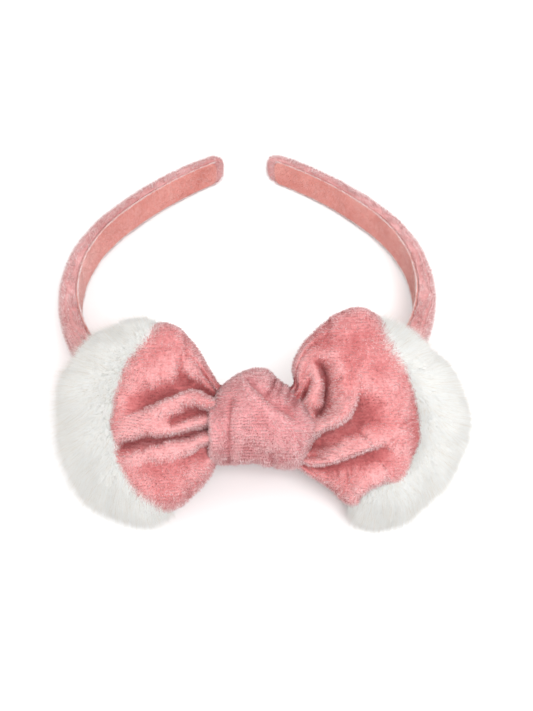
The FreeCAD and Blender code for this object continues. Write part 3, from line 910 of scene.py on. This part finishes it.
# Outlines of the wrap, in millimetres: at places across the bow, how far it stands up the face, down the
# face, and out in front.
KNOT_TOP = ((-18, 3.0), (-16.2, 6.0), (-13.4, 9.4), (-10.4, 12.6), (-7, 14.8), (-2, 16.2), (2.2, 16.0),
            (4.8, 13.7), (8.9, 10.6), (13.3, 7.4), (16.2, 3.2), (18, 0.0))
KNOT_FOOT = ((-18, -11.5), (-16.2, -12.6), (-13.5, -13.6), (-10.8, -13.8), (-6.9, -13.8), (-2.1, -13.5),
             (3.2, -15.0), (8.5, -15.9), (12.6, -15.2), (14.7, -11.8), (16.2, -8.0), (18, -4.0))
KNOT_FRONT = ((-18, 10.2), (-14, 12.0), (-11.5, 12.6), (-6, 14.6), (2, 15.0), (9, 13.6), (14, 11.6),
              (18, 8.0))
KNOT_MID, KNOT_REAR = -1.5, 9.0
KNOT_CENTRE = np.array((-2.0, -7.0))
KNOT_AROUND, KNOT_STATIONS = 150, 56
KNOT_ENDS = (-14.7, 17.0)
# The wrap's cut edges are rolled in: the roll's radius, how far on the hidden lip then runs, and drops.
EDGE_ROLL, LIP_RUN, LIP_DROP = 1.7, 2.5, 1.3


def band_corners(x, grow):
    """The hoop's four corners in the bow's section plane at x, in millimetres."""
    across = x + BOW_SHIFT / MM
    back = CROWN_R / MM - math.sqrt((CROWN_R / MM) ** 2 - across ** 2)
    corners = []
    outer, inner, half = COVER_OUT / MM + grow, LINING_IN / MM - 0.05, CROWN_HALF_W / MM + grow
    for offset, up in ((outer, half), (outer, -half), (inner, -half), (inner, half)):
        y_back = back - offset
        y = -BOW_RAISE / MM + y_back * math.sin(FACE_TILT) + up * math.cos(FACE_TILT)
        z = -BOW_STANDOFF / MM - y_back * math.cos(FACE_TILT) + up * math.sin(FACE_TILT)
        corners.append((y, z))
    return corners


def reach(outline, angles):
    """How far a convex outline stands from KNOT_CENTRE in each direction."""
    ring = np.array(outline) - KNOT_CENTRE
    px, py = ring[np.argsort(np.arctan2(ring[:, 1], ring[:, 0]))].T
    ex, ey = np.roll(px, -1) - px, np.roll(py, -1) - py
    dx, dy = np.cos(angles)[:, None], np.sin(angles)[:, None]
    det = dy * ex - dx * ey
    crossed = np.abs(det) > 1e-9
    det = np.where(crossed, det, 1.0)
    far, along = (py * ex - px * ey) / det, (dx * py - dy * px) / det
    crossed &= (far > 0) & (along >= -1e-6) & (along <= 1 + 1e-6)
    return np.where(crossed, far, 0.0).max(axis=1)


def convex(points):
    """The convex hull of points in a plane, in order."""
    points = sorted(map(tuple, points))

    def chain(ordered):
        kept = []
        for p in ordered:
            while len(kept) > 1 and ((kept[-1][0] - kept[-2][0]) * (p[1] - kept[-2][1])
                                     - (kept[-1][1] - kept[-2][1]) * (p[0] - kept[-2][0])) <= 0:
                kept.pop()
            kept.append(p)
        return kept[:-1]
    return chain(points) + chain(points[::-1])


def knot_grid(grow, inset):
    """Rings of the wrap across the bow, rolled in at both ends, in the bow's frame and millimetres."""
    angles = np.linspace(0, 2 * math.pi, KNOT_AROUND, endpoint=False)
    stations = np.linspace(*KNOT_ENDS, KNOT_STATIONS)
    top, foot, front = (smooth_curve(c, 160) for c in (KNOT_TOP, KNOT_FOOT, KNOT_FRONT))
    lap = np.linspace(0, 2 * math.pi, 40, endpoint=False)
    radii = []
    for x in stations:
        y1, y0, zf = (np.interp(x, c[:, 0], c[:, 1]) for c in (top, foot, front))
        rear = np.where(np.sin(lap) > 0, zf - KNOT_MID, KNOT_REAR)
        oval = np.stack(((y1 + y0) / 2 + (y1 - y0) / 2 * np.cos(lap), KNOT_MID + rear * np.sin(lap)),
                        axis=1)
        radii.append(reach(convex(list(oval) + band_corners(x, grow)), angles))
    radii = np.array(radii) - inset
    kernel = np.exp(-0.5 * (np.arange(-4, 5) / 1.6) ** 2)
    kernel /= kernel.sum()
    radii = sum(np.roll(radii, k, axis=1) * w for k, w in zip(range(-4, 5), kernel))

    def rolled_edge(end, radius, sign):
        turns = np.radians(np.linspace(0, 180, 8)[1:])
        edge = [(end + sign * EDGE_ROLL * math.sin(t), radius - EDGE_ROLL * (1 - math.cos(t))) for t in turns]
        return edge + [(end - sign * LIP_RUN, edge[-1][1] - LIP_DROP)]

    before = rolled_edge(stations[0], radii[0], -1)
    after = rolled_edge(stations[-1], radii[-1], 1)
    rows = before[::-1] + list(zip(stations, radii)) + after
    x = np.array([row[0] for row in rows])[:, None] + 0 * angles
    r = np.array([row[1] for row in rows])
    y = KNOT_CENTRE[0] + r * np.cos(angles)
    z = KNOT_CENTRE[1] + r * np.sin(angles)
    return np.stack((x, y, z), axis=-1)


# Creases in the front of the knot, as for the lobes.
KNOT_FOLDS = ((((-8.6, 10), (-9.6, 3), (-10.1, -4), (-10.4, -14)), 1.0, 0.9, 4, 1, 0),
              (((-12.4, 7), (-13.1, 0), (-12.8, -13)), 0.4, 0.7, 3, 1, 0),
              (((-5, 15), (-0.5, 9.5), (5.5, 4.5), (13.8, -1.5)), 1.2, 1.3, 3, 8, -1),
              (((4.6, 14), (3.6, 10.8), (0.6, 7.6)), 1.7, 0.8, 0.5, 4, 0),
              (((7.3, 12), (6.0, 9.2), (4.0, 6.6)), 1.4, 0.7, 0.5, 3, 0),
              (((9.8, 10.2), (8.4, 7.4), (7.2, 5.4)), 1.2, 0.7, 0.5, 3, 0),
              (((12.4, 8.4), (11.0, 5.6), (10.4, 3.2)), 1.2, 0.7, 0.5, 3, 0),
              (((-7, -14.5), (-5.5, -11), (-5, -5)), 0.6, 0.9, 0.5, 6, 0),
              (((3.4, -16), (3.6, -12), (2.5, -8)), 0.6, 0.9, 0.5, 5, 0),
              (((14.2, -14), (13.0, -9), (13.4, -2)), 1.0, 1.0, 1, 6, 0))


def make_stitches(wrap):
    """A row of small slanted stitches along the wrap's under edge, where its ends are sewn together."""
    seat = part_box("knot_stitches")
    low_x, high_x = seat[0][0], seat[1][0]
    row_y = (seat[0][1] + seat[1][1]) / 2
    mesh = wrap.data
    surface = BVHTree.FromPolygons([v.co for v in mesh.vertices], [p.vertices for p in mesh.polygons])
    rings, around, radius = 9, 6, 0.22 * MM
    lift, sunk = 0.30 * MM, 0.10 * MM
    slant = np.array((0.5, 0.9, 0.0)) * MM
    points, faces = [], []
    for x in np.linspace(low_x, high_x, 17):
        first = len(points)
        for t in np.linspace(-1, 1, rings):
            below = Vector(np.array((x, row_y, -10 * MM)) + t * slant)
            hit, up, _, _ = surface.ray_cast(below, Vector((0, 0, 1)))
            if hit is None:
                break
            centre = np.array(hit) + np.array(up) * (lift * (1 - t * t) - sunk)
            side = unit(np.cross(up, slant))
            size = radius * max(0.3, math.sqrt(1 - t * t * 0.95))
            for j in range(around):
                turn = 2 * math.pi * j / around
                points.append(centre + (side * math.cos(turn) + np.array(up) * math.sin(turn)) * size)
        if len(points) - first == rings * around:
            faces += [tuple(first + k for k in f) for f in tube_faces(rings, around)]
        else:
            del points[first:]
    stitches = new_piece("knot_whip_stitches", points, faces)
    finish_piece(stitches, THREAD, "hoop_crown", ("knot_stitches",))


PADDING_SHARE = 0.7   # the knot's wadding stops short of the wrap's two mouths


def make_knot():
    grid = knot_grid(1.3, 0.0)
    rings, around = grid.shape[:2]
    x, y, z = grid[..., 0], grid[..., 1], grid[..., 2]
    front = smoothstep(-3.0, 3.0, z)
    press = sum(crease(x, y, f) for f in KNOT_FOLDS) * front
    outward = unit(grid[..., 1:] - KNOT_CENTRE)
    grid[..., 1:] += outward * press[..., None]
    faces = tube_faces(rings, around)
    wrap = new_piece("knot_wrap_cloth", in_bow(grid * MM).reshape(-1, 3), faces)
    uneven(wrap, 0.7 * MM, 8.0 * MM, 31)
    uneven(wrap, 0.25 * MM, 3.0 * MM, 32)
    finish_piece(wrap, KNOT_VELVET, "hoop_crown", ("knot_wrap",))
    # The hollow marks give the velvet and its pile a painted shade in the creases and a painted highlight on
    # the ridges, and shorten the pile in the creases.
    mark_hollows(wrap, 1.1 * MM)
    for layer, length in PILE_LAYERS:
        pile = nap("knot_pile_%d" % layer, wrap, LAYER_HAIRS, 97 + 10 * layer, -FACE_UP * 0.35, FACE_UP,
                   1.0 * MM, length, KNOT_PILE)
        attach(pile, "hoop_crown")
    make_stitches(wrap)
    padding = knot_grid(0.6, 4.5) * MM
    padding[..., 0] *= PADDING_SHARE
    stuffing = new_piece("knot_wadding", in_bow(padding).reshape(-1, 3), faces)
    uneven(stuffing, 0.3 * MM, 4.0 * MM, 33)
    finish_piece(stuffing, WADDING, "hoop_crown", ("knot_padding",))


# --- Assembly ----------------------------------------------------------------

HALVES = make_hoop()
make_lobes()
make_rolls()
make_knot()
frame["nodes"]["gather_binding"].data.materials[0] = THREAD

for side, *layers in HALVES:
    for piece in layers:
        with_arm(piece)
